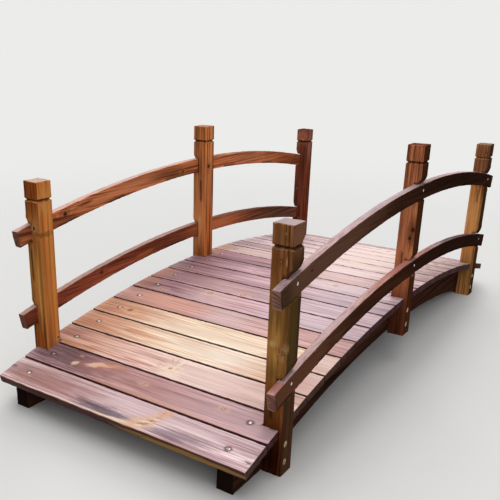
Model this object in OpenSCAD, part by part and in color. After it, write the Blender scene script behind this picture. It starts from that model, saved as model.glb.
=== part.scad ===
/* [Deck] */
// Number of boards from end to end
board_count = 20; // [14:2:24]
// Width of a board, along the bridge
board_w = 95; // [80:1:110]
// Thickness of a board
board_t = 22; // [16:1:30]
// Length of a board, across the bridge
board_l = 820; // [600:10:1200]
// Gap between two boards, at their undersides
board_gap = 4.5; // [2:0.5:8]
// Chamfer along a board's upper edges
board_ease = 2; // [0.5:0.5:4]

/* [Arch] */
// Radius of the walking surface, seen from the side
deck_r = 3750; // [3000:50:6000]
// Height of the walking surface at the ends of the deck
end_h = 87; // [75:1:110]
// Width of a side beam, across the bridge
beam_w = 45; // [30:1:70]
// Depth of a side beam under the boards
beam_d = 98; // [80:1:140]
// Board length that stands out past each beam
board_overhang = 43; // [30:1:60]
// First board's overhang past the beams' end
end_overhang = 18; // [5:1:40]

/* [Posts] */
// Side of a square post
post_w = 54; // [45:1:80]
// Whole boards between the end of the deck and the gap beside the end posts
end_post_gap = 2; // [1:1:4]
// Distance that the end posts stand beyond that gap, towards the end of the deck
end_post_shift = 21; // [0:1:25]
// Height of a post above the upper rail's top edge
post_above = 116; // [90:1:180]
// Reach of the middle posts below the beams
post_drop = 8; // [0:1:20]
// Radius of a post's four upright edges
post_round = 3.5; // [2:0.5:8]
// Chamfer round the top and the hanging bottom of a post
post_chamfer = 1.5; // [1:0.5:6]
// Height of the cap block above its groove
cap_h = 46; // [30:1:60]
// Height of the V groove under the cap block
groove_h = 11; // [8:1:24]
// Depth of the V groove
groove_d = 6; // [4:0.5:12]

/* [Rails] */
// Thickness of a rail, across the bridge
rail_t = 23; // [18:1:30]
// Depth of a rail, from its top edge to its bottom edge
rail_d = 48; // [36:1:60]
// Chamfer along the four edges of a rail
rail_ease = 2; // [0.5:0.5:4]
// Distance that a rail stands proud of the posts' outer faces
rail_proud = 2; // [0:0.5:6]
// Rail length past the end posts
rail_overhang = 52; // [30:1:90]
// Radius of the upper rails' top edge
upper_r = 4100; // [3500:50:6000]
// Height of the upper rails' top edge above the deck's crown
upper_h = 366; // [320:1:500]
// Radius of the lower rails' top edge
lower_r = 3830; // [3500:50:6000]
// Height of the lower rails' top edge above the deck's crown
lower_h = 127; // [110:1:180]

/* [Joinery] */
// Gap between a post and the boards notched round it
notch_fit = 1.5; // [0.5:0.5:4]
// Gap between a rail's top edge and the head of its housing in the post
housing_head = 3; // [0.5:0.5:6]
// Height of the rounded shoulder over an end post's housing
end_shoulder_h = 32; // [20:1:60]
// Depth of an end post's shoulder, from its outer face
end_shoulder_d = 10; // [4:1:20]
// Height of the rounded shoulder over a middle post's housing
middle_shoulder_h = 25; // [20:1:60]
// Depth of a middle post's shoulder, from its outer face
middle_shoulder_d = 9; // [4:1:20]
// Height of the slope that eases the sill under a rail
sill_h = 9; // [4:1:40]
// Depth of that slope, from the post's outer face
sill_d = 5; // [2:1:16]

/* [Hidden] */
arc_fn = 720;

// Boards: each lies on a flat facet of the beams
pitch = board_w + board_gap;
seat_r = deck_r - board_t;
step = 2 * atan(pitch / 2 / seat_r);
half_angle = step * board_count / 2;
crown_h = end_h + deck_r * (1 - cos(half_angle));
arch_z = crown_h - deck_r;
deck_end_x = seat_r * sin(half_angle);

// Beams and posts across the bridge
beam_y = board_l / 2 - board_overhang;
post_y = beam_y + post_w / 2;
beam_end_x = deck_end_x - end_overhang;
under_r = seat_r - beam_d;

// Posts along the bridge
end_post_x = seat_r * sin(half_angle - end_post_gap * step) + end_post_shift;
post_places = ["near", "middle", "far"];
post_xs = [-end_post_x, 0, end_post_x];
rail_x = end_post_x + post_w / 2 + rail_overhang;

function two_digits(i) = i < 10 ? str("0", i) : str(i);
function board_name(i) = str("deck_board_", two_digits(i));
function board_angle(i) = (i - (board_count + 1) / 2) * step;
function arc_z(r, top, x) = top - r + sqrt(r * r - x * x);

// Everything on the left is the right side mirrored
module on_left() mirror([0, 1, 0]) children();

// Lays a drawing of length and height upright, its face towards the right side
module upright(y, t) translate([0, y + t, 0]) rotate([90, 0, 0]) linear_extrude(t) children();

module chamfered(w, h, c) polygon([
    [c, 0], [w - c, 0], [w, c], [w, h - c], [w - c, h], [c, h], [0, h - c], [0, c]
]);

module round_square(w, r) {
    square([w - 2 * r, w], center = true);
    square([w, w - 2 * r], center = true);
    for (x = [-1, 1], y = [-1, 1]) translate([x, y] * (w / 2 - r)) circle(r, $fn = 32);
}

// Side beam: a facet under each board, a round arch below and a flat foot at each end
module beam() {
    facet_r = seat_r / cos(step / 2);
    color("#3a2219") upright(-beam_y, beam_w) intersection() {
        translate([-beam_end_x, 0]) square([2 * beam_end_x, crown_h]);
        translate([0, arch_z]) difference() {
            polygon(concat([[0, 0]], [for (i = [0 : board_count])
                facet_r * [sin(i * step - half_angle), cos(i * step - half_angle)]]));
            circle(under_r, $fn = arc_fn);
        }
    }
}

// Outline cut through a post on all four sides, at height z
module ring_cut(z, outline) {
    for (turn = [0 : 90 : 270]) rotate(turn) translate([post_w / 2, post_w, z])
        rotate([90, 0, 0]) linear_extrude(2 * post_w) polygon(outline);
}

// Rounded shoulder in section: the part cut away, from the post's outer face inwards and up
module shoulder_section(h, d) {
    bend_r = (d * d + h * h) / (2 * d);
    difference() {
        translate([-1, -1]) square([d + 1, h + 1]);
        translate([bend_r, h]) circle(bend_r, $fn = 180);
    }
}

// Lays a section past the post at x, sloping as the arc does there; the section gives
// the depth from the post's outer face and the height above the arc
module past_post(x, arc_r, centre_z) translate([0, 0, centre_z]) rotate([0, asin(x / arc_r), 0])
    translate([-post_w, -post_y - post_w / 2, arc_r])
        rotate([90, 0, 90]) linear_extrude(2 * post_w) children();

// Housing for a rail: head, shoulder and sill all follow the rail past the post
module housing(x, r, top) {
    sill_r = r - rail_d;
    head_r = r + housing_head;
    back_y = post_y + post_w / 2 + rail_proud - rail_t;
    upright(-back_y - rail_t, rail_t) intersection() {
        translate([x - post_w, 0]) square([2 * post_w, top + housing_head]);
        translate([0, top - r]) difference() {
            circle(head_r, $fn = arc_fn);
            circle(sill_r, $fn = arc_fn);
        }
    }
    past_post(x, head_r, top - r)
        if (x == 0) shoulder_section(middle_shoulder_h, middle_shoulder_d);
        else shoulder_section(end_shoulder_h, end_shoulder_d);
    past_post(x, sill_r, top - r)
        polygon([[-1, 1], [sill_d * (1 + 1 / sill_h), 1], [0, -sill_h], [-1, -sill_h]]);
}

// Post: bolted to the beam's outer face, with a cap block over a V groove
module post(x) {
    upper_top = crown_h + upper_h;
    lower_top = crown_h + lower_h;
    foot_z = x == 0 ? crown_h - board_t - beam_d - post_drop : 0;
    top_z = arc_z(upper_r, upper_top, x) + post_above;
    groove_z = top_z - cap_h - groove_h / 2;
    color("#8a4a20") difference() {
        translate([x, -post_y, 0]) difference() {
            translate([0, 0, foot_z]) linear_extrude(top_z - foot_z) round_square(post_w, post_round);
            ring_cut(groove_z, [[1, -groove_h / 2 - 1], [-groove_d, 0], [1, groove_h / 2 + 1]]);
            ring_cut(top_z, [[-post_chamfer - 1, 1], [1, -post_chamfer - 1], [1, 1]]);
            if (x == 0) ring_cut(foot_z, [[-post_chamfer - 1, -1], [1, -1], [1, post_chamfer + 1]]);
        }
        housing(x, upper_r, upper_top);
        housing(x, lower_r, lower_top);
    }
}

// Rail: one sawn arc past all three posts, its ends cut square to the arc
module rail(r, height) {
    top = crown_h + height;
    reach = asin(rail_x / r);
    out_y = post_y + post_w / 2 + rail_proud;
    color("#5a2e1c") translate([0, -out_y + rail_t, top - r]) rotate([90, 0, 0]) rotate(90 - reach)
        rotate_extrude(angle = 2 * reach, $fn = arc_fn)
            translate([r - rail_d, 0]) chamfered(rail_d, rail_t, rail_ease);
}

// Deck board: flat on the beams, notched round any post that it meets
module deck_board(i) {
    angle = board_angle(i);
    middle_x = seat_r * sin(angle);
    reach = (board_w + post_w) / 2 + notch_fit;
    hole_w = post_w + 2 * notch_fit;
    color("#a86a58") difference() {
        translate([0, 0, arch_z]) rotate([0, angle, 0]) translate([-board_w / 2, 0, seat_r])
            upright(-board_l / 2, board_l) polygon([
                [0, 0], [board_w, 0], [board_w, board_t - board_ease],
                [board_w - board_ease, board_t], [board_ease, board_t], [0, board_t - board_ease]
            ]);
        for (x = post_xs, side = [-1, 1]) if (abs(x - middle_x) < reach)
            translate([x, side * (post_y + board_overhang / 2), crown_h / 2])
                cube([hole_w, hole_w + board_overhang, 2 * crown_h], center = true);
    }
}

beam();  // right_beam
on_left() beam();  // left_beam
for (i = [0 : 2]) {
    post(post_xs[i]);
    on_left() post(post_xs[i]);
}
rail(upper_r, upper_h);  // upper_right_rail
on_left() rail(upper_r, upper_h);  // upper_left_rail
rail(lower_r, lower_h);  // lower_right_rail
on_left() rail(lower_r, lower_h);  // lower_left_rail
for (i = [1 : board_count]) deck_board(i);
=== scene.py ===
import math

import bpy
import numpy as np
from mathutils import Matrix, Vector


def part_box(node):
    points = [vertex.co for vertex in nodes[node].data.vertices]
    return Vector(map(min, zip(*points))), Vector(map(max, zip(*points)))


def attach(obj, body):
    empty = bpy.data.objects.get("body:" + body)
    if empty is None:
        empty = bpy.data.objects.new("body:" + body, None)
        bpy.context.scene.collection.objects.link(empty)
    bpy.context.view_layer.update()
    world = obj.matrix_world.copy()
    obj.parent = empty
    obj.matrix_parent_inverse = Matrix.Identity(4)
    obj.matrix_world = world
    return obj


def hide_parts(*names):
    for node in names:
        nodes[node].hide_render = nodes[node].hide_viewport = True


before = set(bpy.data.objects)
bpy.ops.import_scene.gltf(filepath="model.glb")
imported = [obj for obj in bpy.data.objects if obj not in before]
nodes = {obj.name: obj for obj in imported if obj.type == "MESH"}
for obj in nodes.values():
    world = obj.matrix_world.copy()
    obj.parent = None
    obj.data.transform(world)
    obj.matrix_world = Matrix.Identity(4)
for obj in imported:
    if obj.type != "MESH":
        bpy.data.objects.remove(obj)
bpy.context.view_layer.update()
print("frame loaded:", len(nodes), "nodes")


# the photograph's point of view
cameraView = {
    "place": (-2.1229, -1.0740, 0.9743),
    "heading": 0.6169,        # turn from +X towards +Y
    "downTilt": 0.3521,
    "roll": 0.0092,
    "focalPixels": 695.1,
    "imagePixels": 500,
    "sensor": 36.0,
    "centrePixel": (194.1, 301.0),
}


def addCamera(view):
    heading, tilt, roll = view["heading"], view["downTilt"], view["roll"]
    ahead = Vector((math.cos(heading) * math.cos(tilt), math.sin(heading) * math.cos(tilt), -math.sin(tilt)))
    side = Vector((math.sin(heading), -math.cos(heading), 0))
    up = side.cross(ahead)
    right = side * math.cos(roll) + up * math.sin(roll)
    top = up * math.cos(roll) - side * math.sin(roll)
    turn = Matrix((right, top, -ahead)).transposed()
    bpy.ops.object.camera_add(location=view["place"], rotation=turn.to_euler())
    camera = bpy.context.object
    camera.name = "photoCamera"
    size = view["imagePixels"]
    lens = camera.data
    lens.sensor_width = view["sensor"]
    lens.lens = view["focalPixels"] / size * view["sensor"]
    lens.shift_x = 0.5 - view["centrePixel"][0] / size
    lens.shift_y = view["centrePixel"][1] / size - 0.5
    bpy.context.scene.camera = camera


addCamera(cameraView)
print("camera placed")


# small helpers for shader trees
def tone(red, green, blue):
    def linear(value):
        value /= 255
        return value / 12.92 if value <= 0.04045 else ((value + 0.055) / 1.055) ** 2.4
    return (linear(red), linear(green), linear(blue), 1)


# an output of a node, which formulas can be written with
class Signal:
    def __init__(self, socket):
        self.socket = socket

    def __add__(self, other):
        return calc("ADD", self, other)

    def __sub__(self, other):
        return calc("SUBTRACT", self, other)

    def __rsub__(self, other):
        return calc("SUBTRACT", other, self)

    def __mul__(self, other):
        return calc("MULTIPLY", self, other)

    def __truediv__(self, other):
        return calc("DIVIDE", self, other)


# a node's outputs, by number and by name
def outputsOf(node):
    found = {}
    for number, socket in enumerate(node.outputs):
        found[number] = found[socket.name] = Signal(socket)
    return found


def fill(node, sockets):
    for key, value in sockets.items():
        if isinstance(value, Signal):
            node.id_data.links.new(value.socket, node.inputs[key])
        else:
            node.inputs[key].default_value = value
    return node.id_data


def put(kind, sockets, tree=None, **settings):
    tree = tree or next(value.socket.id_data for value in sockets.values() if isinstance(value, Signal))
    node = tree.nodes.new("ShaderNode" + kind)
    for setting, value in settings.items():
        setattr(node, setting, value)
    fill(node, sockets)
    return outputsOf(node)


def place(group, sockets):
    return put("Group", sockets, node_tree=group)


def calc(operation, *values, clamp=False):
    return put("Math", dict(enumerate(values)), operation=operation, use_clamp=clamp)[0]


def timesPlus(value, factor, extra, clamp=False):
    return calc("MULTIPLY_ADD", value, factor, extra, clamp=clamp)


def ramp(value, low, high, toLow=0.0, toHigh=1.0):
    sockets = {"Value": value, "From Min": low, "From Max": high, "To Min": toLow, "To Max": toHigh}
    return put("MapRange", sockets, interpolation_type="SMOOTHSTEP")[0]


def mixed(share, first, second, way="MIX"):
    return put("Mix", {0: share, 6: first, 7: second}, data_type="RGBA", blend_type=way)[2]


def vector(*parts):
    return put("CombineXYZ", dict(enumerate(parts)))[0]


def split(value):
    parts = put("SeparateXYZ", {0: value})
    return [parts[number] for number in range(3)]


def noise(spot, detail=2.0, roughness=0.5, scale=1.0, output="Fac"):
    sockets = {"Vector": spot, "Scale": scale, "Detail": detail, "Roughness": roughness}
    return put("TexNoise", sockets)[output]


# noise drawn out along the grain: waves in a metre along it, and across it
def fibrous(spot, alongWaves, acrossWaves, detail, roughness, seed=0.0):
    along, across, depth = spot
    stretched = vector(timesPlus(along, alongWaves, seed), across * acrossWaves, depth * acrossWaves)
    return noise(stretched, detail, roughness)


# a shader group: its inputs with what they hold at first, and its outputs
def newGroup(name, takes, *gives):
    tree = bpy.data.node_groups.new(name, "ShaderNodeTree")
    for label, value in takes.items():
        kind = "Float" if isinstance(value, float) else "Vector" if len(value) == 3 else "Color"
        socket = tree.interface.new_socket(label, in_out="INPUT", socket_type="NodeSocket" + kind)
        socket.default_value = value
    for label in gives:
        kind = "Color" if label == "Color" else "Float"
        tree.interface.new_socket(label, in_out="OUTPUT", socket_type="NodeSocket" + kind)
    return outputsOf(tree.nodes.new("NodeGroupInput")), tree.nodes.new("NodeGroupOutput")


# growth rings round a pith that wanders; every place is along, across and into the piece, in metres
def makeGrain():
    taken, given = newGroup("pithGrain", {
        "Place": (0, 0, 0), "Lift": 0.0, "Pith Across": 0.0, "Pith Depth": -0.08, "Ring Width": 0.005,
        "Wander": 0.02, "Seed": 0.0}, "Late", "Fibre", "Streak", "Band")
    spot, seed = split(taken["Place"]), taken["Seed"]
    along, across, depth = spot
    driftAcross, driftDepth, _ = split(noise(vector(along * 2.3, seed, 0.0), detail=1.0, output="Color"))

    def offCentre(value, centre, shift):
        return timesPlus(shift - 0.5, taken["Wander"], value - centre)

    def drawnOut(*settings):
        return fibrous(spot, *settings, seed)

    a = offCentre(across, taken["Pith Across"], driftAcross)
    b = offCentre(depth, taken["Pith Depth"], driftDepth)
    radius = calc("SQRT", timesPlus(a, a, b * b))
    rings = (radius + taken["Lift"]) / taken["Ring Width"]
    rings = timesPlus(drawnOut(5.0, 50.0, 2.0, 0.5) - 0.5, 1.2, rings) + seed
    part = calc("FRACT", rings)
    strength = put("TexWhiteNoise", {"W": calc("FLOOR", rings)}, noise_dimensions="1D")["Value"]
    return fill(given, {
        "Late": ramp(part, 0.25, 0.86) * ramp(part, 1.0, 0.92) * ramp(strength, -0.6, 1.0),
        "Fibre": ramp(drawnOut(6.0, 300.0, 3.0, 0.7), 0.32, 0.68),
        "Streak": ramp(drawnOut(2.4, 120.0, 4.0, 0.68), 0.34, 0.66),
        "Band": ramp(drawnOut(1.3, 17.0, 2.0, 0.5), 0.34, 0.66)})


# a branch that grew through the piece: core, rim, ragged halo, and the rise that bends the rings round it
def makeKnot():
    taken, given = newGroup("knotSpot", {
        "Place": (0, 0, 0), "Along": 0.0, "Across": 0.0, "Radius": 0.008},
        "Lift", "Core", "Rim", "Halo", "Rings")
    along, across, depth = split(taken["Place"])
    size = taken["Radius"]
    x = (along - taken["Along"]) / size
    y = (across - taken["Across"]) / size
    x2, y2 = x * x, y * y
    true = calc("SQRT", timesPlus(x2, 0.7, y2))
    uneven = noise(vector(x, y, depth * 20.0), detail=3.0, scale=1.1)
    away = timesPlus(uneven - 0.5, 1.3, true)

    def hill(alongShare, acrossShare):
        return calc("EXPONENT", timesPlus(x2, alongShare, y2 * acrossShare) * -1.0)

    # rays of pale fibre that part round the branch
    rays = noise(vector(x / true, y / true, true * 0.12), detail=3.0, roughness=0.6, scale=2.4)
    return fill(given, {
        "Lift": hill(0.045, 0.2) * size * 2.4,
        "Core": ramp(away, 1.0, 0.6),
        "Rim": ramp(away, 0.6, 1.0) * ramp(away, 1.7, 1.05),
        "Halo": hill(0.04, 0.15) * ramp(rays, 0.36, 0.62, 0.15, 1.0),
        "Rings": calc("FRACT", away * 3.2)})


# an oval patch with ragged, fibrous ends
def makePatch():
    taken, given = newGroup("oilPatch", {
        "Place": (0, 0, 0), "Along": 0.0, "Across": 0.0, "Long": 0.05, "Wide": 0.01,
        "Turn": 0.0, "Ragged": 0.5, "Edge": 0.35}, "Mask")
    spot = split(taken["Place"])
    x, y = spot[0] - taken["Along"], spot[1] - taken["Across"]
    c, s = calc("COSINE", taken["Turn"]), calc("SINE", taken["Turn"])
    u = timesPlus(y, s, x * c) / taken["Long"]
    v = (y * c - x * s) / taken["Wide"]
    rough = fibrous(spot, 12.0, 130.0, 4.0, 0.7) - 0.5
    away = calc("SQRT", timesPlus(u, u, v * v)) + rough * taken["Ragged"] * 5.0
    return fill(given, {"Mask": ramp(away, taken["Edge"] + 1.0, 1.0 - taken["Edge"])})


# rings, fibres and streaks laid over two tones of one wood
def makeTones():
    taken, given = newGroup("oiledTones", {
        "Light": (0.5, 0.3, 0.15, 1), "Dark": (0.1, 0.05, 0.02, 1), "Stain": (0.1, 0.05, 0.03, 1),
        "Late": 0.0, "Fibre": 0.5, "Streak": 0.5, "Band": 0.5, "Ring Share": 0.7, "Stain Share": 0.5},
        "Color", "Height")
    late, fibre, streak, band = [taken[label] for label in ("Late", "Fibre", "Streak", "Band")]
    stain, stainShare = taken["Stain"], taken["Stain Share"]
    dark = late * taken["Ring Share"] + timesPlus(fibre, 0.28, -0.03)
    dark = calc("ADD", dark, timesPlus(streak, 0.5, -0.21), clamp=True)
    colour = mixed(dark, taken["Light"], taken["Dark"])
    colour = mixed(ramp(streak, 0.55, 0.95) * stainShare, colour, stain)
    colour = mixed(ramp(band, 0.45, 0.95) * (stainShare * 0.7), colour, stain)
    bright = timesPlus(fibre, -0.15, timesPlus(band, -0.14, 1.19))
    return fill(given, {
        "Color": put("HueSaturation", {"Value": bright, "Color": colour})[0],
        "Height": timesPlus(fibre, 0.5, late * 0.6)})


# the band along the arrises, broken up where it has not worn
def makeWear():
    taken, given = newGroup("arrisWear", {
        "Place": (0, 0, 0), "Arris": 0.0, "Amount": 0.5, "Seed": 0.0}, "Mask")
    broken = fibrous(split(taken["Place"]), 14.0, 60.0, 4.0, 0.7, taken["Seed"])
    reach = 1.25 - taken["Amount"] * 0.6
    return fill(given, {"Mask": ramp(timesPlus(broken - 0.5, 1.1, taken["Arris"]), reach, reach + 0.12)})


# which way a point looks: end grain, sky (bleaching and painted sheen), sawn flanks, the bridge's outside
# (painted shade), and the two faces with marks
def makeFacing():
    taken, given = newGroup("facing", {
        "Normal": (0, 0, 0), "Grain": (1, 0, 0), "Flank": (0, 0, 1), "Out": (0, -1, 0),
        "Face": (0, 0, 1), "Side": (0, -1, 0)}, "End", "Sky", "Flank", "Outer", "Face", "Side")

    def toward(way):
        return put("VectorMath", {0: taken["Normal"], 1: way}, operation="DOT_PRODUCT")["Value"]

    return fill(given, {
        "End": ramp(calc("ABSOLUTE", toward(taken["Grain"])), 0.76, 0.92),
        "Sky": ramp(toward((0, 0, 1)), 0.76, 0.92),
        "Flank": ramp(calc("ABSOLUTE", toward(taken["Flank"])), 0.5, 0.66),
        "Outer": ramp(toward(taken["Out"]), 0.35, 0.66),
        "Face": ramp(toward(taken["Face"]), 0.6, 0.85),
        "Side": ramp(toward(taken["Side"]), 0.6, 0.85)})


grainGroup, knotGroup, patchGroup = makeGrain(), makeKnot(), makePatch()
toneGroup, wearGroup, facingGroup = makeTones(), makeWear(), makeFacing()
print("wood effects made")


# marks on a piece, in mm from its middle: along the grain, then across it, with half their size
def mark(at, size, colour, share, edge=0.35, ragged=0.4, turn=0, on="Face", way="MIX"):
    return {"at": at, "size": size, "tone": tone(*colour), "share": share, "edge": edge, "ragged": ragged,
            "turn": turn, "on": on, "way": way}


def soft(at, size, colour, share, edge=0.9, **more):
    return mark(at, size, colour, share, edge, **more)


def shade(at, size, colour, share, edge=0.9, **more):
    return mark(at, size, colour, share, edge, way="MULTIPLY", **more)


def knot(at, radius, kind, on="Face"):
    return {"at": at, "radius": radius, "kind": kind, "on": on}


# a new finish, its shader, and the places of its points
def newFinish(name):
    finish = bpy.data.materials.new(name)
    finish.use_nodes = True
    tree = finish.node_tree
    return finish, tree.nodes["Principled BSDF"], put("TexCoord", {}, tree)["Object"]


# axes are the ways of the grain, the sawn flank and the face; side is the way of the second face with marks
def woodFinish(name, look, centre, axes, side, outWay):
    finish, shader, spot = newFinish(name + "Finish")
    tree = finish.node_tree
    turn = Matrix(axes).transposed().to_euler()
    spot = put("Mapping", {"Vector": spot, "Location": centre, "Rotation": turn}, vector_type="TEXTURE")[0]
    along, across, depth = split(spot)
    spots = {"Face": spot, "Side": vector(along, depth, across)}
    facing = place(facingGroup, {
        "Normal": put("NewGeometry", {}, tree)["Normal"], "Grain": axes[0], "Flank": axes[1],
        "Out": outWay, "Face": axes[2], "Side": side})

    def attribute(label):
        return put("Attribute", {}, tree, attribute_name=label, attribute_type="GEOMETRY")["Fac"]

    def where(item):
        x, y = item["at"]
        return {"Place": spots[item["on"]], "Along": x / 1000, "Across": y / 1000}

    def covered(share, colour, label):
        return mixed(share, colour, tone(*look[label]))

    lift, knots = 0.0, []
    for item in look["knots"]:
        spread = place(knotGroup, {**where(item), "Radius": item["radius"] / 1000})
        knots.append((spread, knotTones[item["kind"]], facing[item["on"]]))
        lift = timesPlus(spread["Lift"], facing[item["on"]], lift)
    pithAcross, pithDepth = look["pith"]
    grain = place(grainGroup, {
        "Place": spot, "Lift": lift, "Pith Across": pithAcross / 1000, "Pith Depth": pithDepth / 1000,
        "Ring Width": look["ring"] / 1000, "Wander": look["wander"] / 1000, "Seed": look["seed"]})
    tones = place(toneGroup, {
        "Light": tone(*look["light"]), "Dark": tone(*look["dark"]), "Stain": tone(*look["stain"]),
        **{label: grain[label] for label in ("Late", "Fibre", "Streak", "Band")},
        "Ring Share": look["ringShare"], "Stain Share": look["stainShare"]})

    # pale up-facing faces: partly sun bleaching, partly a painted sheen of the sky
    uneven = timesPlus(grain["Streak"], -0.35, 1.0)
    bloom = calc("MULTIPLY", facing["Sky"] * uneven, look["bloom"], clamp=True)
    colour = covered(bloom, tones["Color"], "bloomTone")
    colour = covered(facing["Flank"] * look["flank"], colour, "flankTone")
    # painted shade: the faces toward the bridge's outside are darkened
    colour = covered(facing["Outer"] * look["outer"], colour, "outerTone")
    for item in look["marks"]:
        long, wide = item["size"]
        mask = place(patchGroup, {
            **where(item), "Long": long / 1000, "Wide": wide / 1000, "Edge": item["edge"],
            "Turn": math.radians(item["turn"]), "Ragged": item["ragged"]})["Mask"]
        colour = mixed(mask * facing[item["on"]] * item["share"], colour, item["tone"], item["way"])
    for spread, kinds, reach in knots:
        heart, rim, halo = [tone(*kind) for kind in kinds]
        colour = mixed(spread["Halo"] * 0.7 * reach, colour, halo)
        colour = mixed(spread["Rim"] * 0.7 * reach, colour, rim)
        ringed = ramp(spread["Rings"], 0.5, 0.95) * 0.5
        colour = mixed(spread["Core"] * reach, colour, mixed(ringed, heart, rim))
    colour = covered(facing["End"] * look["endShare"], colour, "end")
    wear = place(wearGroup, {
        "Place": spot, "Arris": attribute("arris"), "Amount": look["wear"], "Seed": look["seed"]})["Mask"]
    wear = wear * (1.0 - calc("MAXIMUM", facing["End"] * 0.85, facing["Flank"] * look["flank"]))
    colour = covered(wear * look["wearShare"], colour, "wearTone")
    rough = timesPlus(facing["End"], 0.5, timesPlus(grain["Late"], 0.14, look["rough"]))
    fill(shader, {
        # darker in inner corners, round holes and splits: partly grime, partly painted shade
        "Base Color": covered(attribute("seam") * 0.85, colour, "seam"),
        "Roughness": timesPlus(wear, 0.15, rough, clamp=True),
        "Normal": put("Bump", {"Height": tones["Height"], "Strength": 0.5, "Distance": 0.0006})[0],
        "Specular IOR Level": look["gloss"]})
    return finish


# shaping with Blender's own tools
copyWork = {
    "merge": 0.00002,       # points closer than this are one
    "flatAngle": 0.2,       # in degrees: faces this near to one plane are joined
    "sharpAngle": 28,
    "smoothAngle": 38,
    "inward": 0.00001,      # how far a neighbour stands out of a face at an inner corner
}


def selectOnly(*pieces):
    bpy.ops.object.select_all(action="DESELECT")
    for piece in pieces:
        piece.select_set(True)
    bpy.context.view_layer.objects.active = pieces[0]


def enter(mode):
    bpy.ops.object.mode_set(mode=mode)


# goes into edit mode with just the chosen faces or edges of a piece selected
def editOnly(piece, kind, chosen):
    enter("EDIT")
    bpy.ops.mesh.select_mode(type=kind)
    bpy.ops.mesh.select_all(action="DESELECT")
    enter("OBJECT")
    for part in piece.data.polygons if kind == "FACE" else piece.data.edges:
        part.select = chosen(part)
    enter("EDIT")


def applyModifiers(piece):
    selectOnly(piece)
    for modifier in list(piece.modifiers):
        bpy.ops.object.modifier_apply(modifier=modifier.name)


def joined(pieces):
    selectOnly(*pieces)
    if len(pieces) > 1:
        bpy.ops.object.join()
    return bpy.context.object


def cutAway(piece, cutters):
    if not cutters:
        return
    cutter = joined(cutters)
    take = piece.modifiers.new("cut", "BOOLEAN")
    take.operation, take.solver, take.object = "DIFFERENCE", "EXACT", cutter
    take.use_self = True
    applyModifiers(piece)
    bpy.data.objects.remove(cutter)


# the sharp edges of a mesh as pairs of points: those that stand out, and those of inner corners
def sharpEdges(piece):
    mesh = piece.data
    faces = {}
    for face in mesh.polygons:
        for key in face.edge_keys:
            faces.setdefault(key, []).append(face)
    outer, inner = [], []
    for edge in mesh.edges:
        if edge.select:
            first, second = faces[edge.key][:2]
            ends = [mesh.vertices[i].co.copy() for i in edge.vertices]
            inward = (second.center - ends[0]).dot(first.normal) > copyWork["inward"]
            (inner if inward else outer).append(ends)
    return outer, inner


# an own copy of a CAD node's mesh, merged, with its sharp edges found and rounded over
def woodCopy(nodeName, roundOver):
    piece = bpy.data.objects.new(nodeName + "_wood", nodes[nodeName].data.copy())
    bpy.context.scene.collection.objects.link(piece)
    piece.data.materials.clear()
    selectOnly(piece)
    enter("EDIT")
    bpy.ops.mesh.select_mode(type="EDGE")
    bpy.ops.mesh.select_all(action="SELECT")
    bpy.ops.mesh.customdata_custom_splitnormals_clear()
    bpy.ops.mesh.remove_doubles(threshold=copyWork["merge"])
    bpy.ops.mesh.dissolve_limited(angle_limit=math.radians(copyWork["flatAngle"]))
    bpy.ops.mesh.select_all(action="DESELECT")
    bpy.ops.mesh.edges_select_sharp(sharpness=math.radians(copyWork["sharpAngle"]))
    enter("OBJECT")
    outer, inner = sharpEdges(piece)
    enter("EDIT")
    bpy.ops.mesh.bevel(offset=roundOver, segments=2, affect="EDGES", clamp_overlap=True)
    enter("OBJECT")
    return piece, outer, inner


# cuts new edges round the piece at even spacing, so that it has points to weather
def ringCuts(piece, way, centre, reach, spacing):
    way, centre = Vector(way), Vector(centre)
    count = max(1, round(2 * reach / spacing))
    selectOnly(piece)
    enter("EDIT")
    for i in range(1, count):
        bpy.ops.mesh.select_all(action="SELECT")
        bpy.ops.mesh.bisect(plane_co=centre + way * reach * (2 * i / count - 1), plane_no=way)
    enter("OBJECT")


# splits the upright edges that are longer than the spacing
def divideUprights(piece, spacing):
    lengths = [0.0]

    def upright(edge):
        first, second = [piece.data.vertices[number].co for number in edge.vertices]
        run = second - first
        if run.length <= 1.5 * spacing or abs(run.normalized().z) <= 0.9:
            return False
        lengths.append(run.length)
        return True

    selectOnly(piece)
    editOnly(piece, "EDGE", upright)
    if max(lengths):
        bpy.ops.mesh.subdivide(number_cuts=max(1, round(max(lengths) / spacing) - 1))
    enter("OBJECT")


# how near each point is to the given edges: 1 on an edge, 0 out of reach
def nearness(points, edges, reach):
    nearest = np.full(len(points), 1.0)
    for start, end in edges:
        start, way = np.array(start), np.array(end - start)
        share = np.clip((points - start) @ way / max(way @ way, 1e-12), 0, 1)
        nearest = np.minimum(nearest, np.linalg.norm(points - start - share[:, None] * way, axis=1))
    return np.clip(1 - nearest / reach, 0, 1)


edgeReach = {"arris": 0.006, "seam": 0.006, "chips": 0.004, "hole": 0.0068, "split": 0.0042}


# keeps three values at each point: worn arrises; grime and painted shade in inner corners, round holes and
# splits, for the finish; chips for the shape
def markEdges(piece, outer, inner, holes, splits):
    mesh = piece.data
    points = np.empty(len(mesh.vertices) * 3)
    mesh.vertices.foreach_get("co", points)
    points = points.reshape(-1, 3)
    seam = np.zeros(len(points))
    for kind, edges in (("seam", inner), ("hole", [(at, at) for at in holes]), ("split", splits)):
        seam = np.maximum(seam, nearness(points, edges, edgeReach[kind]))
    for label, values in (("arris", nearness(points, outer, edgeReach["arris"])), ("seam", seam)):
        mesh.attributes.new(label, "FLOAT", "POINT").data.foreach_set("value", values.astype(np.float32))
    chips = piece.vertex_groups.new(name="chips")
    weights = nearness(points, outer, edgeReach["chips"])
    for i in np.nonzero(weights)[0]:
        chips.add([int(i)], float(weights[i]), "REPLACE")


def clouds(name, contrast, brightness):
    texture = bpy.data.textures.new(name, "CLOUDS")
    texture.noise_scale, texture.noise_depth = 0.25, 2
    texture.contrast, texture.intensity = contrast, brightness
    return texture


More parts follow.
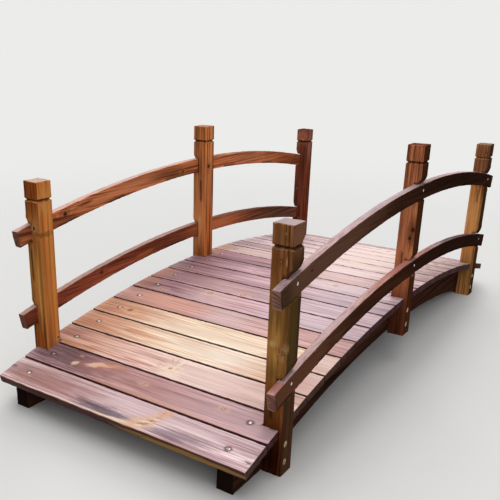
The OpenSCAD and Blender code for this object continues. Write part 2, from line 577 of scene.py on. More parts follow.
surfaceWork = {             # clouds, depth in metres, and the reach of one wave along the grain and across it
    "warp": (clouds("warpClouds", 1.0, 1.0), 0.0004, 0.3, 0.3),     # slow waves of the whole surface
    "relief": (clouds("reliefClouds", 1.4, 1.0), 0.0002, 0.35, 0.03),   # early wood brushed below the rings
    "chips": (clouds("chipClouds", 4.0, 2.15), 0.0007, 0.05, 0.03),
}
grainEmpty = bpy.data.objects.new("grainEmpty", None)
bpy.context.scene.collection.objects.link(grainEmpty)


# uneven surfaces with waves drawn out along the grain, then smooth shading
def weather(piece, grainWay, seed):
    for kind, (texture, depth, along, across) in surfaceWork.items():
        grainEmpty.scale = [along if abs(part) > 0.9 else across for part in grainWay]
        grainEmpty.location = (seed * 0.37, seed * 0.11, seed * 0.23)       # other clouds for each piece
        bpy.context.view_layer.update()
        wave = piece.modifiers.new("wave", "DISPLACE")
        wave.texture, wave.strength = texture, depth
        wave.texture_coords, wave.texture_coords_object = "OBJECT", grainEmpty
        wave.mid_level, wave.vertex_group = (1.0, "chips") if kind == "chips" else (0.5, "")
        applyModifiers(piece)
    bpy.ops.object.shade_smooth_by_angle(angle=math.radians(copyWork["smoothAngle"]))
    flat = piece.modifiers.new("flatFaces", "WEIGHTED_NORMAL")      # broad faces stay flat beside round edges
    flat.keep_sharp, flat.weight = True, 80
    applyModifiers(piece)


# the wooden shape of a CAD node; cuts are the ways, reaches and spacings of its new edges, upright the
# spacing along its upright edges, holes and lines the places that get grime and painted shade
def shapeWood(name, sizes, centre, cuts, cutters, holes, lines, upright=None, seams=True):
    piece, outer, inner = woodCopy(name, sizes["roundOver"])
    cutAway(piece, cutters)
    for way, reach, spacing in cuts:
        ringCuts(piece, way, centre, reach, spacing)
    if upright:
        divideUprights(piece, upright)
    markEdges(piece, outer, inner if seams else [], holes, lines)
    return piece


def settle(piece, finish, nodeName=None):
    piece.data.materials.append(finish)
    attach(piece, "root")
    if nodeName:
        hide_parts(nodeName)


# cutters: a conical sinking for a screw, a pointed split, and a rounded scoop; way is the surface's normal
def turned(way, roll=0.0):
    return (Vector(way).to_track_quat("Z", "Y") @ Matrix.Rotation(roll, 3, "Z").to_quaternion()).to_euler()


def sinking(at, way, wide, deep):
    over = 0.001        # how far it stands out of the wood
    bpy.ops.mesh.primitive_cone_add(
        vertices=20, radius1=wide / 2 - deep, radius2=wide / 2 + over, depth=deep + over,
        location=Vector(at) + Vector(way).normalized() * (over - deep) / 2, rotation=turned(way))
    return bpy.context.object


def crack(lines, at, way, along, long, wide, deep):
    bpy.ops.mesh.primitive_cone_add(vertices=4, radius1=0.25, radius2=1.0, depth=2 * deep)
    cutter = bpy.context.object
    way, along = Vector(way).normalized(), Vector(along).normalized()
    for middle, half in ((at, along * long * 0.3), (at - way * deep, along * long * 0.12)):
        lines.append((middle - half, middle + half))
    turn = Matrix((along, way.cross(along), way)).transposed().to_4x4()
    cutter.matrix_world = Matrix.Translation(at) @ turn @ Matrix.Diagonal((long / 2, wide / 2, 1, 1))
    selectOnly(cutter)
    bpy.ops.object.transform_apply(location=True, rotation=True, scale=True)
    return cutter


def scoop(at, size):
    bpy.ops.mesh.primitive_ico_sphere_add(subdivisions=2, radius=1, location=at, scale=size)
    return bpy.context.object


# named tones in red, green and blue up to 255, from bare wood to burnt
bare, cream, honey, pale = (238, 212, 186), (226, 188, 152), (206, 146, 92), (244, 214, 208)
rust, chestnut, cocoa, umber = (150, 84, 52), (120, 68, 44), (92, 54, 42), (62, 38, 30)
slate, rose, char = (74, 58, 74), (200, 152, 138), (34, 22, 18)
burst, ray = (255, 238, 210), (186, 136, 120)

knotTones = {      # heart, rim and halo
    "dark": ((70, 38, 26), (38, 22, 16), (120, 72, 48)),
    "gold": ((186, 122, 74), (110, 64, 42), (226, 176, 128)),
    "pale": ((228, 188, 152), (144, 92, 68), (230, 190, 160)),
    "amber": ((150, 86, 40), (70, 38, 22), (206, 140, 70)),
    "spark": ((222, 160, 104), (80, 46, 32), (96, 56, 38)),
    "eye": ((40, 22, 14), (228, 172, 120), (232, 164, 96)),
    "burst": ((196, 152, 122), (250, 222, 194), (253, 230, 200)),
}

# oiled pine, each as its light wood, its dark rings and its streaks of stain, made paler in part as painted
# sheen of the tops
pine = {
    "washed": {"light": (254, 227, 226), "dark": (202, 160, 160), "stain": (160, 118, 122)},
    "plum": {"light": (222, 182, 184), "dark": (148, 106, 110), "stain": (118, 82, 88)},
    "rose": {"light": (254, 224, 208), "dark": (208, 154, 140), "stain": (172, 118, 110)},
    "honey": {"light": (255, 238, 212), "dark": (228, 178, 142), "stain": (206, 152, 124), "ringShare": 0.6},
    "mauve": {"light": (222, 184, 188), "dark": (158, 120, 124), "stain": (126, 92, 98)},
    "silver": {"light": (234, 206, 206), "dark": (178, 144, 142), "stain": (146, 112, 112)},
}


# deck boards
boardLook = {
    **pine["mauve"], "ringShare": 0.5, "stainShare": 0.5, "end": (66, 36, 30), "endShare": 0.92,
    "bloom": 0.0, "bloomTone": rose, "flank": 0.92, "flankTone": (76, 22, 12),
    "outer": 0.0, "outerTone": umber, "wear": 0.35, "wearShare": 0.5, "wearTone": (206, 162, 142),
    "seam": (48, 30, 26), "rough": 0.44, "gloss": 0.03,
    "pith": (10, -80), "ring": 6.5, "wander": 22,       # mm: where the pith lies, ring width, its wandering
    "knots": [],
    # painted shade: the board darker towards its left end, where it shows less sheen
    "marks": [shade((330, 0), (170, 90), (196, 170, 166), 0.7, ragged=0.1)],
}
warmEnd = mark((392, 0), (44, 90), (206, 140, 104), 0.5, edge=0.7)
# painted sheen: the boards paler towards their right ends
rightEndSheen = mark((-394, 0), (52, 90), (236, 204, 204), 0.6, edge=0.7)
rightSideSheen = soft((-290, 0), (160, 90), (226, 220, 228), 0.35)
# their marks lie in mm towards the left side, then towards the near end, on the front edge upwards
# on the boards, the soft pale patches on the right halves are painted sheen, and the soft darkening (shade)
# towards the left ends painted shade
boardLooks = {
    1: {**pine["washed"],
        "pith": (-14, -60), "seed": 1.3, "wear": 0.75, "flankTone": (72, 26, 18),
        "knots": [knot((337, 9), 3, "pale")],
        "marks": [
            soft((290, 12), (190, 50), (152, 92, 74), 0.68),
            mark((20, 28), (105, 15), slate, 0.8, edge=0.6),
            mark((-205, 20), (85, 16), slate, 0.6, edge=0.7, turn=4),
            mark((235, 46), (170, 3.2), (246, 214, 198), 0.9, ragged=0.35),
            shade((-290, 38), (120, 12), (226, 216, 218), 0.9, edge=0.8),
            mark((44, 47), (70, 5), bare, 0.95, ragged=0.25, turn=2),
            mark((-34, 43), (56, 8), bare, 0.95, ragged=0.3, turn=6),
            mark((-80, 30), (36, 20), (228, 178, 146), 0.85, edge=0.6, ragged=0.7, turn=34),
            mark((-108, 4), (38, 17), (230, 184, 154), 0.85, edge=0.6, ragged=0.8, turn=56),
            mark((-130, -28), (30, 14), (226, 176, 148), 0.8, edge=0.6, ragged=0.8, turn=70),
            mark((-96, 24), (15, 3), cocoa, 0.45, ragged=1.4, turn=20),
            mark((-112, 6), (13, 3), cocoa, 0.45, ragged=1.4, turn=12),
            mark((-128, -12), (12, 3), cocoa, 0.4, ragged=1.4, turn=8),
            mark((-104, 12), (14, 3), bare, 0.95, ragged=1.4, turn=16),
            mark((-120, -4), (12, 3), bare, 0.95, ragged=1.4, turn=10),
            mark((-90, 32), (12, 3), bare, 0.9, ragged=1.4, turn=20),
            mark((-235, -4), (200, 8), (206, 158, 90), 0.85, ragged=0.3, on="Side"),
            mark((250, 2), (160, 3), (120, 60, 44), 0.7, on="Side")],
        "splits": [(-400, 18, 22, 0.7), (402, -6, 26, 0.8)],
        "frontSplits": [(250, 3.5, 230, 1.0)],
        "gouges": (-100, 26, -128, -30)},
    2: {**pine["plum"],
        "pith": (8, -52), "seed": 2.1, "knots": [knot((-1, -3), 3, "pale"), knot((-250, -12), 4, "pale")],
        "marks": [
            mark((270, 2), (140, 44), (72, 48, 56), 0.75, edge=0.7),
            soft((-40, 0), (200, 40), (150, 98, 84), 0.5),
            mark((158, -18), (76, 22), (178, 128, 118), 0.75, edge=0.6, turn=16),
            mark((176, -14), (26, 9), (238, 200, 190), 0.9, ragged=0.9, turn=28),
            mark((146, -20), (32, 7), (234, 190, 146), 0.85, ragged=0.9, turn=24),
            mark((118, -30), (26, 6), (206, 156, 132), 0.7, ragged=0.7, turn=8),
            mark((243, 8), (10, 7), bare, 0.85, ragged=0.9, turn=40),
            mark((246, -27), (8, 4), rose, 0.8, ragged=0.9),
            mark((-110, 42), (240, 5), (204, 152, 126), 0.7, edge=0.5, ragged=0.5),
            soft((-260, -2), (210, 60), (226, 192, 194), 0.4),
            shade((110, 0), (240, 90), (246, 236, 228), 0.9)],
        "splits": [(-396, -4, 30, 0.8)]},
    3: {**pine["rose"],
        "pith": (20, -72), "seed": 3.7, "knots": [knot((-24, 8), 7, "burst")],
        "marks": [
            mark((300, 38), (70, 8), (224, 170, 120), 0.7, ragged=0.6),
            soft((-200, 4), (120, 34), (178, 134, 136), 0.5),
            mark((-34, 30), (38, 12), burst, 0.7, edge=0.5, ragged=0.7, turn=-6),
            mark((-40, -22), (26, 5), burst, 0.7, ragged=0.5, turn=80),
            mark((-8, 18), (24, 6), burst, 0.5, ragged=0.7, turn=30),
            mark((-62, 10), (26, 7), burst, 0.45, ragged=0.7, turn=24),
            mark((-14, -18), (20, 1.6), ray, 0.8, ragged=0.3, turn=-58),
            mark((-24, -22), (20, 1.5), ray, 0.8, ragged=0.3, turn=-84),
            mark((-44, -14), (18, 1.5), ray, 0.7, ragged=0.3, turn=-140),
            mark((-2, -4), (22, 1.4), ray, 0.6, turn=-24), shade((20, 0), (110, 90), (246, 238, 236), 0.8),
            soft((-170, 0), (150, 60), (255, 228, 218), 0.6),
            shade((330, 0), (170, 90), (218, 190, 176), 0.9, ragged=0.1)]},
    4: {**pine["honey"],
        "pith": (4, -34), "seed": 4.2, "ring": 9.0, "wander": 34,
        "marks": [
            mark((-96, 2), (150, 15), bare, 0.85, edge=0.6, turn=4),
            soft((-150, 0), (120, 60), (255, 240, 226), 0.5),
            shade((370, 0), (190, 90), (206, 146, 124), 0.75, ragged=0.1),
            shade((-330, 0), (110, 90), (222, 192, 180), 0.8), rightEndSheen]},
    5: {**pine["honey"],
        "pith": (26, -38), "seed": 5.9, "ring": 8.5, "wander": 34, "knots": [knot((293, 0), 6, "gold")],
        "marks": [
            mark((20, 20), (180, 14), bare, 0.8, edge=0.6),
            shade((370, 0), (190, 90), (206, 146, 124), 0.75, ragged=0.1), rightEndSheen]},
    6: {**pine["mauve"],
        "seed": 6.4, "pith": (-18, -70), "light": (220, 178, 172), "dark": (160, 116, 112),
        "marks": [
            mark((250, 0), (200, 60), (222, 158, 130), 0.6, edge=0.8),
            soft((0, 0), (70, 60), (236, 216, 220), 0.35)]},
    7: {"seed": 7.7, "knots": [knot((138, -27), 6, "pale"), knot((300, 20), 5, "pale")],
        "marks": [
            mark((100, 0), (110, 60), (218, 176, 168), 0.45, edge=0.8),
            soft((130, 0), (70, 60), (246, 216, 214), 0.4),
            shade((330, 0), (170, 90), (190, 168, 170), 0.8), warmEnd, rightSideSheen]},
    8: {"seed": 8.3, "knots": [knot((36, 32), 6, "pale")],
        "marks": [
            mark((130, 0), (140, 60), (218, 176, 168), 0.4, edge=0.8),
            shade((330, 0), (130, 90), (214, 196, 198), 0.8), warmEnd, rightSideSheen]},
    9: {
        "marks": [
            shade((330, 0), (170, 90), (204, 182, 180), 0.7, ragged=0.1), rightSideSheen]},
    10: {"seed": 10.6, "knots": [knot((-180, -10), 5, "pale")],
        "marks": [
            shade((-12, 0), (84, 90), (206, 192, 194), 0.7),
            shade((310, 0), (130, 90), (196, 180, 182), 0.8), soft((-170, 0), (130, 60), pale, 0.55),
            rightSideSheen]},
    11: {"seed": 11.9,
        "marks": [
            shade((240, 0), (230, 90), (206, 188, 190), 0.8), soft((-150, 0), (150, 60), pale, 0.65),
            mark((-160, 14), (110, 9), cream, 0.5), warmEnd]},
    12: {**pine["silver"],
        "seed": 12.8,
        "marks": [
            soft((300, 0), (150, 60), (240, 204, 188), 0.5),
            soft((-110, 0), (180, 60), (252, 226, 220), 0.75), warmEnd]},
}
farLook = {
    **pine["silver"],
    "marks": [
        shade((-350, 0), (150, 90), (206, 196, 190), 0.9, ragged=0.1),
        soft((-110, 0), (190, 70), (252, 228, 218), 0.8), mark((-120, -10), (90, 8), cream, 0.5)],
}
lastLook = {
    **pine["silver"],
    "marks": [
        shade((280, 0), (140, 90), (206, 190, 186), 0.8), shade((-300, 0), (120, 90), (214, 196, 190), 0.7),
        shade((0, 0), (120, 90), (206, 190, 186), 0.8)],
}
boardLooks.update({number: lastLook if number > 18 else farLook for number in range(13, 21)})
boardSizes = {
    "stepAngle": 1.52917,                   # in degrees, from one board to the next
    "halfLong": 0.41, "halfWide": 0.0475, "half": 0.011, "roundOver": 0.0009, "rings": (0.010, 0.0075),
    "screwY": 0.336, "screwWide": 0.0108, "screwDeep": 0.0030, "splitDeep": 0.006, "frontSplitDeep": 0.003,
    "gouges": 7, "gougeSize": (0.013, 0.0024, 0.0005),
}


def boardWays(number):
    angle = (number - (len(boardLooks) + 1) / 2) * math.radians(boardSizes["stepAngle"])
    return Vector((math.cos(angle), 0, -math.sin(angle))), Vector((math.sin(angle), 0, math.cos(angle)))


def boardScrew(number, side):
    low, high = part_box("deck_board_%02d" % number)
    up = boardWays(number)[1]
    return (low + high) / 2 + up * boardSizes["half"] + Vector((0, side * boardSizes["screwY"], 0))


def addBoard(number):
    name = "deck_board_%02d" % number
    look = {**boardLook, "seed": number * 1.37, **boardLooks[number]}
    screwLeft = boardSizes["screwY"] * 1000
    # painted shadow: a dark ring round each deck screw, the shade of its sinking
    look["marks"] = look["marks"] + [
        mark((left, 1), (9, 8), (70, 30, 24), 0.8, edge=0.5, ragged=0.3) for left in (-screwLeft, screwLeft)]
    low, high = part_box(name)
    centre = (low + high) / 2
    onward, up = boardWays(number)
    half = boardSizes["half"]

    def onTop(left, near):
        return centre - onward * near / 1000 + Vector((0, left / 1000, 0)) + up * half

    screws = [boardScrew(number, side) for side in (-1, 1)]
    cutters = [sinking(at, up, boardSizes["screwWide"], boardSizes["screwDeep"]) for at in screws]
    lines = []
    for left, near, long, wide in look.get("splits", []):
        deep = boardSizes["splitDeep"]
        cutters.append(crack(lines, onTop(left, near), up, (0, 1, 0), long / 1000, wide / 1000, deep))
    for left, rise, long, wide in look.get("frontSplits", []):
        at = onTop(left, boardSizes["halfWide"] * 1000) - up * (half - rise / 1000)
        deep = boardSizes["frontSplitDeep"]
        cutters.append(crack(lines, at, -onward, (0, 1, 0), long / 1000, wide / 1000, deep))
    if "gouges" in look:
        left, near, leftEnd, nearEnd = look["gouges"]
        last = boardSizes["gouges"] - 1
        for i in range(last + 1):
            astray = 2 * math.sin(i * 2.4)
            at = onTop(left + (leftEnd - left) * i / last + astray, near + (nearEnd - near) * i / last)
            long, wide, deep = boardSizes["gougeSize"]
            cutters.append(crack([], at, up, (-0.5, 1, 0), long + 0.003 * math.sin(i), wide, deep))
    endWay, (coarse, fine) = Vector((0, 1, 0)), boardSizes["rings"]
    halfLong, halfWide = boardSizes["halfLong"], boardSizes["halfWide"]
    cuts = [(endWay, halfLong, coarse), (onward, halfWide, fine), (up, half, fine)]
    board = shapeWood(name, boardSizes, centre, cuts, cutters, screws, lines)
    weather(board, endWay, look["seed"])
    settle(board, woodFinish(name, look, centre, (endWay, -onward, up), -onward, endWay), name)


for number in boardLooks:
    addBoard(number)
print("deck boards made")


# arched rails, sawn from straight-grained planks
railLook = {
    **boardLook, "gloss": 0.0, "light": (232, 144, 94), "dark": (138, 70, 42), "stain": (96, 50, 34),
    "end": (146, 100, 84), "ring": 5.5, "pith": (-30, -120), "wander": 14, "stainShare": 0.7,
    # outer: painted shade on the faces toward the bridge's outside
    # the rail tops get a pale bloom: partly bleaching, partly painted sheen
    "bloom": 0.85, "bloomTone": (230, 198, 188), "flank": 0.0, "outer": 0.92, "outerTone": (58, 36, 28),
    "wear": 0.4, "wearShare": 0.55, "wearTone": (206, 162, 146), "rough": 0.5, "seam": (26, 14, 10),
    "marks": [],
    "checks": [(-9, 0.9, 8), (8, 1.1, 10)],      # splits in an end: mm up, width and depth
}
splitEnds = [(-16, 4.6, 9), (-7, 3.6, 7), (3, 5.2, 11), (13, 4.4, 8)]
# their marks lie in mm from the middle of the bridge, then upwards from the middle of the rail's depth
railLooks = {
    "upper_left_rail": {"seed": 21.3, "knots": [knot((-705, 4), 5, "dark"), knot((-120, -8), 5, "amber")],
        "marks": [
            mark((-520, -4), (150, 8), (230, 148, 96), 0.7, ragged=0.6),
            mark((-400, 2), (130, 16), (238, 154, 108), 0.7, edge=0.8),
            mark((-620, 8), (36, 4), cocoa, 0.8, ragged=0.8),
            mark((400, 4), (160, 9), honey, 0.5, edge=0.6),
            shade((640, 0), (130, 60), (190, 170, 170), 0.8, edge=0.8),
            mark((-200, 2), (90, 16), chestnut, 0.5, edge=0.7),
            shade((325, 0), (110, 60), (226, 226, 240), 0.95),
            # painted shade: the far part of the top darker, without the pale sheen
            mark((480, 0), (380, 30), (122, 64, 46), 0.8, edge=0.6, on="Side")]},
    "lower_left_rail": {"seed": 23.9, "light": (168, 92, 66), "dark": (96, 48, 34),
        "bloomTone": (206, 172, 160), "knots": [knot((-560, 6), 4, "dark")],
        "marks": [
            mark((90, 0), (170, 22), (222, 136, 86), 0.7, edge=0.8),
            mark((-340, -6), (50, 6), (196, 110, 66), 0.7),
            # painted shade with a cool reflected tint over the far part of the face
            shade((540, 0), (200, 60), (150, 202, 216), 0.8, edge=0.8),
            shade((690, 0), (110, 60), (206, 222, 240), 0.9),
            shade((-135, 0), (110, 60), (224, 224, 224), 0.9),
            # painted shade: the far part of the top darker, without the pale sheen
            mark((480, 0), (400, 30), (92, 48, 36), 0.85, edge=0.6, on="Side")]},
    "upper_right_rail": {"seed": 25.1, "bloomTone": (206, 190, 196), "end": (196, 144, 124),
        "knots": [knot((-745, 5), 2.5, "dark")],
        "checks": splitEnds,
        "marks": [
            # painted light and shade along the outer face: paler towards the near end, dark over the far half
            mark((-700, 0), (330, 40), (134, 94, 76), 0.75, edge=0.7),
            mark((420, 0), (560, 60), (34, 24, 20), 0.7, edge=0.8),
            shade((-866, 0), (30, 60), (196, 206, 186), 0.9, edge=0.8),
            shade((-835, 0), (70, 60), (224, 220, 222), 0.95, edge=0.8, on="Side"),
            shade((100, 0), (170, 60), (224, 226, 220), 0.95, on="Side")]},
    "lower_right_rail": {"seed": 27.7, "bloomTone": (216, 190, 190), "end": (180, 130, 112),
        "checks": splitEnds,
        "marks": [
            # painted light and shade along the outer face: paler towards the near end, dark over the far half
            mark((-790, 0), (240, 40), (134, 88, 64), 0.75, edge=0.7),
            mark((-60, 0), (260, 24), (156, 92, 74), 0.6, edge=0.8, on="Side"),
            shade((-862, 0), (24, 60), (222, 186, 176), 0.95, edge=0.5, on="Side"),
            shade((-150, 0), (110, 60), (255, 230, 216), 0.9, on="Side"),
            # painted shadow on the far part of the top
            shade((540, 0), (300, 60), (122, 122, 130), 0.95, edge=0.8, on="Side"),
            mark((420, 0), (560, 60), (34, 24, 20), 0.7, edge=0.8)]},
}
railSizes = {
    "radius": {"upper": 4.100, "lower": 3.830}, "depth": 0.048, "roundOver": 0.0008, "rings": (0.010, 0.008),
    "screwWide": 0.0100, "screwDeep": 0.0024, "screwDrop": 0.020, "checkLong": 0.060, "checkInset": 0.003,
}
rightPosts = ("near_right_post", "middle_right_post", "far_right_post")
postPlaces = [sum(corner.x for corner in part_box(name)) / 2 for name in rightPosts]
# ways of the grain, the sawn flank and the face
sawnAlong = (Vector((1, 0, 0)), Vector((0, 0, 1)), Vector((0, -1, 0)))
sawnUpright = (Vector((0, 0, 1)), Vector((0, 1, 0)), Vector((-1, 0, 0)))


# which side of the bridge a piece is on, and where its outer face lies
def outSide(nodeName):
    low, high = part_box(nodeName)
    return math.copysign(1, low.y + high.y)


def outFace(nodeName):
    low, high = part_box(nodeName)
    return high.y if outSide(nodeName) > 0 else low.y


# a point of a rail, at x along the bridge and so far below its top edge, and the way up the rail there
def railPoint(nodeName, x, drop):
    radius = railSizes["radius"][nodeName[:5]]
    low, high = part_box(nodeName)
    angle = math.asin(x / radius)
    up = Vector((math.sin(angle), 0, math.cos(angle)))
    return Vector((0, (low.y + high.y) / 2, high.z - radius)) + up * (radius - drop), up


def railScrews(name):
    return [Vector((x, outFace(name), railPoint(name, x, railSizes["screwDrop"])[0].z)) for x in postPlaces]


# a mark or knot on a rail's face follows the rail's arc
def onArc(name, item, centre):
    if item["on"] == "Side":
        return item
    x, rise = item["at"]
    middle, up = railPoint(name, x / 1000, railSizes["depth"] / 2)
    item = {**item, "at": (x, rise + (middle.z - centre.z) * 1000)}
    if "turn" in item:
        item["turn"] -= math.degrees(math.atan2(up.x, up.z))
    return item


def addRail(name):
    look = {**railLook, **railLooks[name]}
    side = outSide(name)
    low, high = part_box(name)
    centre = (low + high) / 2
    outWay = (0, side, 0)
    screws = railScrews(name)
    cutters = [sinking(at, outWay, railSizes["screwWide"], railSizes["screwDeep"]) for at in screws]
    lines = []
    for end, (rise, wide, deep) in [(end, item) for end in (-1, 1) for item in look["checks"]]:
        drop = railSizes["depth"] / 2 - rise / 1000 * end * side
        at, up = railPoint(name, end * (high.x - railSizes["checkInset"]), drop)
        way = Vector((up.z, 0, -up.x)) * end
        slope = (0, 1, -side * (0.42 + 0.01 * rise))
        cutters.append(crack(lines, at, way, slope, railSizes["checkLong"], wide / 1000, deep / 1000))
    coarse, fine = railSizes["rings"]
    cuts = [((1, 0, 0), (high.x - low.x) / 2, coarse), ((0, 1, 0), (high.y - low.y) / 2, fine)]
    rail = shapeWood(name, railSizes, centre, cuts, cutters, screws, lines, upright=fine)
    weather(rail, (1, 0, 0), look["seed"])
    for kind in ("marks", "knots"):
        look[kind] = [onArc(name, item, centre) for item in look[kind]]
    settle(rail, woodFinish(name, look, centre, sawnAlong, (0, 0, 1), outWay), name)


for name in railLooks:
    addRail(name)
print("rails made")


# posts, with their cap blocks
postLook = {
    **boardLook, "gloss": 0.0, "light": (196, 122, 70), "dark": (112, 62, 36), "stain": (72, 40, 26),
    "end": (136, 98, 84), "endShare": 0.8, "ring": 7.0, "pith": (16, -50), "wander": 14, "stainShare": 0.8,
    # outer: painted shade on the faces toward the bridge's outside
    "flank": 0.0, "wear": 0.4, "wearTone": (212, 150, 100), "rough": 0.46, "outer": 0.9,
    "outerTone": (58, 37, 25), "marks": [],
}
# their marks lie in mm above the ground, then to the left; on the right-hand face, to the near end
postLooks = {
    "near_left_post": {"seed": 31.2, "light": (244, 156, 78), "dark": (150, 82, 34), "end": (206, 188, 176),
        "knots": [knot((491, -5), 6, "eye"), knot((150, -18), 4, "eye", on="Side")],
        "marks": [
            # painted shade over the front face
            shade((300, 0), (900, 90), (212, 176, 160), 0.8, edge=0.2, ragged=0.1),
            shade((580, 0), (70, 60), (184, 164, 168), 0.85, edge=0.8),
            shade((130, 0), (110, 60), (196, 186, 190), 0.8, edge=0.8),
            soft((370, 0), (150, 60), (252, 180, 98), 0.4),
            # painted light on the side face that looks over the deck
            soft((340, 0), (420, 60), (255, 164, 84), 0.5, on="Side"),
            mark((296, -10), (100, 4), (236, 180, 96), 0.9, turn=1),
            mark((472, 0), (7, 40), cocoa, 0.6, ragged=0.9),
            mark((472, 0), (6, 40), cocoa, 0.5, ragged=0.9, on="Side"),
            mark((560, 0), (26, 24), (236, 168, 96), 0.6, ragged=0.9, on="Side"),
            mark((300, -14), (230, 6), (244, 166, 84), 0.6, edge=0.6, on="Side"),
            mark((120, 10), (120, 8), rust, 0.5, edge=0.6, on="Side")]},
    "middle_left_post": {"seed": 33.5, "light": (244, 158, 92), "dark": (150, 82, 46),
        "end": (196, 144, 124), "knots": [knot((560, 6), 5, "dark", on="Side")],
        "marks": [
            mark((326, -3), (64, 8), (252, 204, 160), 0.75, ragged=0.6),
            soft((320, 4), (100, 24), (250, 168, 100), 0.6),
            mark((500, 8), (120, 7), (232, 158, 104), 0.6, edge=0.6, on="Side"),
            soft((430, 0), (90, 30), (246, 156, 98), 0.5),
            shade((190, 0), (80, 60), (190, 168, 164), 0.8, edge=0.8),
            shade((260, 0), (220, 60), (220, 196, 188), 0.8, edge=0.6, on="Side")]},
    "far_left_post": {"seed": 35.8, "light": (166, 92, 66), "dark": (88, 44, 32), "end": (84, 46, 44),
        "knots": [knot((354, 10), 3, "spark")],
        "marks": [
            mark((590, 0), (30, 40), (214, 136, 108), 0.6, edge=0.8),
            mark((330, 0), (120, 30), (96, 44, 32), 0.5, edge=0.8),
            shade((250, 0), (260, 60), (190, 170, 160), 0.8, on="Side"),
            mark((575, -4), (8, 7), (236, 150, 90), 0.8, ragged=0.8),
            mark((560, 4), (60, 20), (170, 124, 112), 0.5, edge=0.8, on="Side")]},
    "near_right_post": {"seed": 37.1, "light": (198, 132, 80), "dark": (94, 54, 34),
        "outerTone": (78, 54, 40), "end": (194, 178, 180), "ringShare": 0.65,
        "knots": [knot((537, 1), 2, "spark"), knot((323, -16), 4, "gold")],
        "marks": [
            mark((320, 0), (180, 30), (220, 158, 80), 0.6, edge=0.8, ragged=0.3),
            mark((300, 4), (70, 5), (232, 178, 92), 0.6), mark((600, -8), (4, 2.6), (222, 160, 104), 0.85),
            mark((579, -13), (3, 2), (206, 150, 100), 0.7), soft((335, 8), (40, 22), (244, 164, 82), 0.35),
            mark((370, 18), (130, 7), (220, 150, 84), 0.45, edge=0.8),
            mark((341, 9), (7, 9), (250, 218, 146), 0.9, edge=0.6, turn=20),
            mark((350, 3), (12, 3), (236, 190, 116), 0.7, ragged=0.8),
            mark((336, -22), (9, 4.5), (244, 208, 136), 0.85, edge=0.6),
            mark((344, -19), (4, 3), (240, 190, 120), 0.8),
            mark((336, 24), (10, 5), (216, 176, 104), 0.7, edge=0.7, on="Side"),
            mark((328, -4), (8, 2.6), (84, 22, 10), 0.95, ragged=0.2),
            mark((312, -2), (6, 2), (96, 34, 18), 0.85), mark((300, -4), (12, 1.8), (104, 44, 24), 0.8),
            mark((372, -22), (150, 7), (84, 52, 26), 0.55, edge=0.8),
            # painted shade: dark olive on the side face near its front edge
            soft((370, 8), (130, 22), (108, 86, 42), 0.75, on="Side"),
            shade((530, 0), (40, 60), (206, 186, 190), 0.8, edge=0.8),
            mark((598, 0), (36, 60), (164, 112, 84), 0.75, edge=0.8, on="Side"),
            mark((538, -13), (10, 2), (226, 172, 112), 0.7, ragged=0.8),
            mark((590, -8), (22, 12), (84, 48, 34), 0.5, edge=0.8, ragged=0.8),
            mark((330, -6), (22, 16), (120, 66, 30), 0.5, edge=0.6, ragged=0.9),
            mark((232, -12), (24, 12), char, 0.6, ragged=0.8),
            # painted shade low on the front, by the foot
            shade((90, 0), (120, 60), (176, 140, 122), 0.9), shade((30, 0), (80, 60), (140, 110, 104), 0.9),
            soft((400, 4), (34, 26), (120, 84, 44), 0.6, ragged=0.6),
            soft((268, 8), (30, 20), (112, 78, 40), 0.6, ragged=0.6),
            mark((372, 10), (60, 5), (228, 168, 96), 0.5, edge=0.6),
            mark((350, -2), (50, 4), (226, 170, 96), 0.5, edge=0.6)]},
    "middle_right_post": {"seed": 39.4, "light": (224, 138, 92), "dark": (130, 70, 46), "end": (96, 58, 50),
        "outerTone": (64, 34, 20), "knots": [knot((446, -19), 5, "dark"), knot((418, -12), 4, "dark")],
        "marks": [
            mark((490, -17), (26, 4), (236, 170, 96), 0.8, ragged=1.2),
            mark((379, -22), (26, 4), (230, 166, 92), 0.8, ragged=1.2),
            soft((330, 4), (150, 30), (240, 154, 104), 0.7), soft((530, 0), (80, 60), (240, 160, 112), 0.3),
            mark((440, -14), (50, 14), (110, 58, 36), 0.6, ragged=0.6),
            shade((150, 0), (110, 60), (154, 138, 142), 0.9, edge=0.8)]},
    "far_right_post": {"seed": 41.7, "light": (234, 160, 94), "dark": (144, 88, 48), "end": (108, 116, 114),
        "knots": [knot((582, -14), 3, "spark")],
        "marks": [
            soft((310, 2), (110, 30), (250, 184, 112), 0.7),
            mark((562, 0), (66, 40), (120, 78, 60), 0.75, edge=0.5),
            mark((120, 6), (60, 24), (150, 120, 66), 0.6, edge=0.8)]},
}
postSizes = {
    "roundOver": 0.0008, "ring": 0.009, "half": 0.027, "boltWide": 0.0190, "boltDeep": 0.0036,
    "boltRise": (0.033, 0.082), "boltShift": 0.007, "boltLift": 0.003, "checkDeep": 0.006,
}
postChecks = {      # drying splits on a post's front: mm above the ground, towards the left, length and width
    "near_left_post": (380, 12, 150, 1.0), "middle_left_post": (470, -8, 120, 1.0),
    "near_right_post": (180, 8, 90, 0.9), "middle_right_post": (330, 6, 130, 0.9),
    "far_left_post": (250, -6, 100, 0.9), "far_right_post": (420, -4, 90, 0.9),
}
postChips = {       # knocks: mm from its middle towards the far end and the left, height, half sizes
    "near_right_post": [(27, -27, 574, 13, 6, 13), (-27, -27, 360, 3, 3, 9), (-27, 27, 250, 2.5, 2.5, 12)],
    "far_left_post": [(-27, -2, 591, 2, 7, 5), (-27, -23, 586, 2.5, 5, 4)],
    "near_left_post": [(-27, -27, 470, 3, 3, 8), (27, -27, 300, 2.5, 2.5, 10)],
    "middle_left_post": [(-27, -27, 640, 3, 3, 6)], "middle_right_post": [(-27, 27, 560, 3, 3, 9)],
}


def boltPlaces(name):
    low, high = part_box(name)
    x = (low.x + high.x) / 2 - postSizes["boltShift"]
    foot = 0.0 if low.z < 0.01 else low.z + postSizes["boltLift"]
    return [Vector((x, outFace(name), foot + rise)) for rise in postSizes["boltRise"]]


